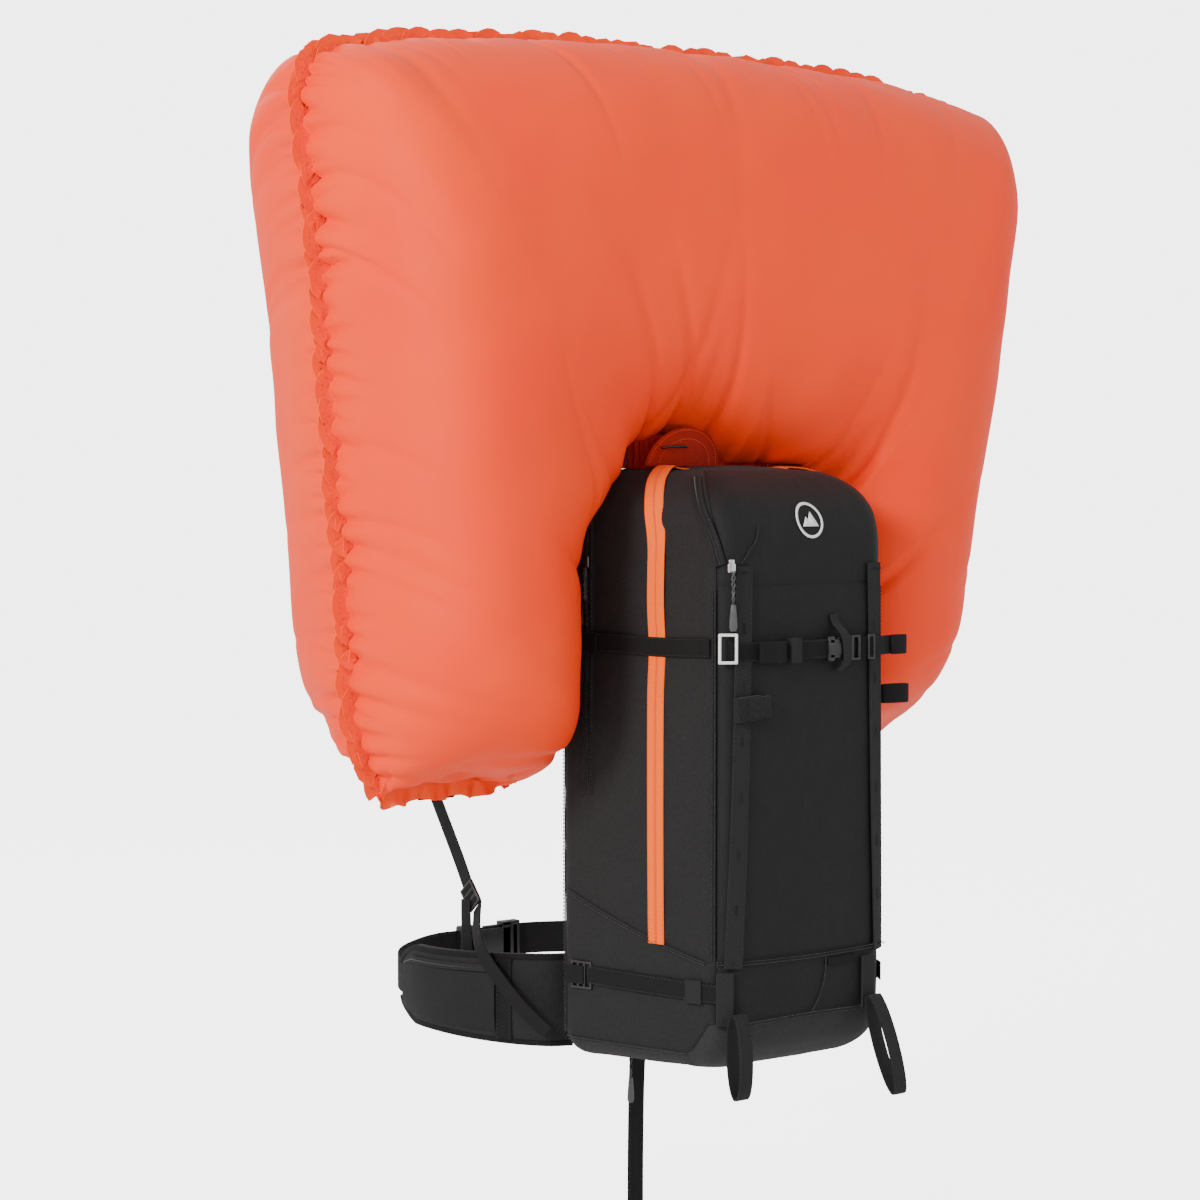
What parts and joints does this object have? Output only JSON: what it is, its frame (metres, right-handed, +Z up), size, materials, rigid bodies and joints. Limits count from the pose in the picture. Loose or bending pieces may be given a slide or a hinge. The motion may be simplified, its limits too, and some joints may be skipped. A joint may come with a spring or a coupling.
{
  "type": "avalanche airbag backpack",
  "caption": "Ski touring backpack with an inflated inverted-U avalanche airbag above it, padded harness, pull trigger, gas bottle, compression straps and zips.",
  "frame": {"origin": "middle of the lumbar pad's face, which rests on the wearer's lower back", "axes": "+X to the wearer's right, +Y the way the wearer faces, +Z up"},
  "size_m": [0.9116, 0.6513, 1.34],
  "materials": {
    "black_nylon": "matte",
    "grey_base": "matte",
    "black_webbing": "matte",
    "black_acetal": "satin",
    "black_foam": "matte",
    "orange_airbag": "satin",
    "orange_tape": "matte",
    "red_cuff": "matte",
    "frame_plastic": "satin",
    "aluminium": "satin",
    "steel": "satin",
    "white_acetal": "satin",
    "red_acetal": "satin"
  },
  "bodies": {
    "pack": {"pack_bag": "black_nylon", "base_boot": "grey_base", "compartment_divider": "black_nylon", "frame_sheet": "frame_plastic", "frame_stay": "aluminium", "clamshell_zip": "orange_tape", "lumbar_pad": "black_foam", "back_pad_left": "black_foam", "back_pad_right": "black_foam", "lower_webbing_left": "black_webbing", "lower_webbing_right": "black_webbing", "airbag": "orange_airbag", "airbag_cuff": "red_cuff", "gas_cartridge": "steel", "inflator_body": "black_acetal", "trigger_cable": "black_acetal", "daisy_chain_left": "black_webbing", "daisy_chain_right": "black_webbing", "upper_strap_left": "black_webbing", "upper_strap_right": "black_webbing", "lower_strap_left": "black_webbing", "lower_strap_right": "black_webbing", "lower_buckle_left": "black_acetal", "lower_buckle_right": "black_acetal", "corner_ring": "white_acetal", "front_buckle_socket": "black_acetal", "front_cross_strap": "black_webbing", "front_strap_tail": "black_webbing", "axe_keeper": "black_webbing", "side_loop_right": "black_webbing"},
    "pocket_lid": {"pocket_lid": "black_nylon"},
    "side_zip_slider": {"side_zip_slider": "steel"},
    "side_zip_puller": {"side_zip_puller": "black_acetal"},
    "front_zip_slider": {"front_zip_slider": "steel"},
    "front_zip_puller": {"front_zip_puller": "black_acetal"},
    "base_zip_slider": {"base_zip_slider": "steel"},
    "base_zip_puller": {"base_zip_puller": "black_acetal"},
    "shoulder_left": {"shoulder_strap_left": "black_foam", "trigger_housing": "black_acetal", "sternum_webbing_left": "black_webbing", "sternum_socket": "black_acetal", "ladder_lock_left": "black_acetal"},
    "trigger": {"trigger_handle": "red_acetal"},
    "piercing_pin": {"piercing_pin": "steel"},
    "shoulder_right": {"shoulder_strap_right": "black_foam", "sternum_webbing_right": "black_webbing", "ladder_lock_right": "black_acetal"},
    "sternum_plug": {"sternum_plug": "black_acetal"},
    "hip_left": {"hip_fin_left": "black_foam", "hip_webbing_left": "black_webbing", "hip_buckle_socket": "black_acetal"},
    "hip_right": {"hip_fin_right": "black_foam", "hip_webbing_right": "black_webbing", "hip_buckle_plug": "black_acetal"},
    "front_buckle_plug": {"front_buckle_plug": "black_acetal"},
    "haul_loop": {"haul_loop": "black_webbing"},
    "axe_loop_left": {"axe_loop_left": "black_webbing"},
    "axe_loop_right": {"axe_loop_right": "black_webbing"},
    "leg_strap": {"leg_strap": "black_webbing"},
    "leg_hook": {"leg_hook": "aluminium"}
  },
  "joints": [
    {"name": "pocket_lid_hinge", "type": "hinge", "parent": "pack", "child": "pocket_lid", "pos_m": [0, -0.24, 0.452], "axis": [1, 0, 0], "range_deg": [0, 100]},
    {"name": "side_zip_slide", "type": "slide", "parent": "pack", "child": "side_zip_slider", "axis": [0, 0, 1], "range_m": [-0.055, 0.02]},
    {"name": "side_puller_hinge", "type": "hinge", "parent": "side_zip_slider", "child": "side_zip_puller", "pos_m": [-0.16345, -0.076, 0.466], "axis": [0, 1, 0], "range_deg": [0, 8]},
    {"name": "front_zip_slide", "type": "slide", "parent": "pack", "child": "front_zip_slider", "axis": [0, 0, 1], "range_m": [0, 0.04]},
    {"name": "front_puller_hinge", "type": "hinge", "parent": "front_zip_slider", "child": "front_zip_puller", "pos_m": [-0.1055, -0.24695, 0.4665], "axis": [-1, 0, 0], "range_deg": [0, 60]},
    {"name": "base_zip_slide", "type": "slide", "parent": "pack", "child": "base_zip_slider", "axis": [1, 0, 0], "range_m": [0, 0.12]},
    {"name": "base_puller_hinge", "type": "hinge", "parent": "base_zip_slider", "child": "base_zip_puller", "pos_m": [-0.061, -0.0225, -0.0575], "axis": [1, 0, 0], "range_deg": [-40, 40]},
    {"name": "shoulder_left_hinge", "type": "hinge", "parent": "pack", "child": "shoulder_left", "pos_m": [0, 0.006, 0.495], "axis": [1, 0, 0], "range_deg": [0, 12], "deforming": ["lower_webbing_left"]},
    {"name": "shoulder_right_hinge", "type": "hinge", "parent": "pack", "child": "shoulder_right", "pos_m": [0, 0.006, 0.495], "axis": [1, 0, 0], "range_deg": [0, 12], "deforming": ["lower_webbing_right"]},
    {"name": "trigger_pull", "type": "slide", "parent": "shoulder_left", "child": "trigger", "axis": [0, 0, -1], "range_m": [0, 0.04], "stiffness_N_per_m": 60, "springref_m": -0.01},
    {"name": "piercing_pin_slide", "type": "slide", "parent": "pack", "child": "piercing_pin", "axis": [0, 0, -1], "range_m": [0, 0.01]},
    {"name": "sternum_release", "type": "slide", "parent": "shoulder_right", "child": "sternum_plug", "axis": [1, 0, 0], "range_m": [0, 0.026], "deforming": ["sternum_webbing_right"]},
    {"name": "hip_left_hinge", "type": "hinge", "parent": "pack", "child": "hip_left", "pos_m": [-0.125, 0, 0], "axis": [0, 0, 1], "range_deg": [0, 35], "stiffness_Nm_per_rad": 0.5},
    {"name": "hip_right_hinge", "type": "hinge", "parent": "pack", "child": "hip_right", "pos_m": [0.125, 0, 0], "axis": [0, 0, 1], "range_deg": [-35, 0], "stiffness_Nm_per_rad": 0.5},
    {"name": "front_strap_release", "type": "slide", "parent": "pack", "child": "front_buckle_plug", "axis": [1, 0, 0], "range_m": [0, 0.026], "deforming": ["front_strap_tail"]},
    {"name": "haul_loop_hinge", "type": "hinge", "parent": "pack", "child": "haul_loop", "pos_m": [0, -0.004, 0.5], "axis": [1, 0, 0], "range_deg": [0, 110]},
    {"name": "axe_loop_left_hinge", "type": "hinge", "parent": "pack", "child": "axe_loop_left", "pos_m": [-0.104, -0.256, 0.02], "axis": [-1, 0, 0], "range_deg": [0, 80]},
    {"name": "axe_loop_right_hinge", "type": "hinge", "parent": "pack", "child": "axe_loop_right", "pos_m": [0.08, -0.256, 0.02], "axis": [-1, 0, 0], "range_deg": [0, 60]},
    {"name": "leg_strap_hinge", "type": "hinge", "parent": "pack", "child": "leg_strap", "pos_m": [-0.04, -0.01, -0.052], "axis": [1, 0, 0], "range_deg": [-30, 60]},
    {"name": "leg_hook_hinge", "type": "hinge", "parent": "leg_strap", "child": "leg_hook", "pos_m": [-0.04, -0.004, -0.2732], "axis": [1, 0, 0], "range_deg": [-60, 60]}
  ],
  "couplings": [
    {"joint": "shoulder_right_hinge", "follows": "shoulder_left_hinge", "ratio": 1},
    {"joint": "hip_right_hinge", "follows": "hip_left_hinge", "ratio": -1},
    {"joint": "piercing_pin_slide", "follows": "trigger_pull", "ratio": 0.25}
  ]
}
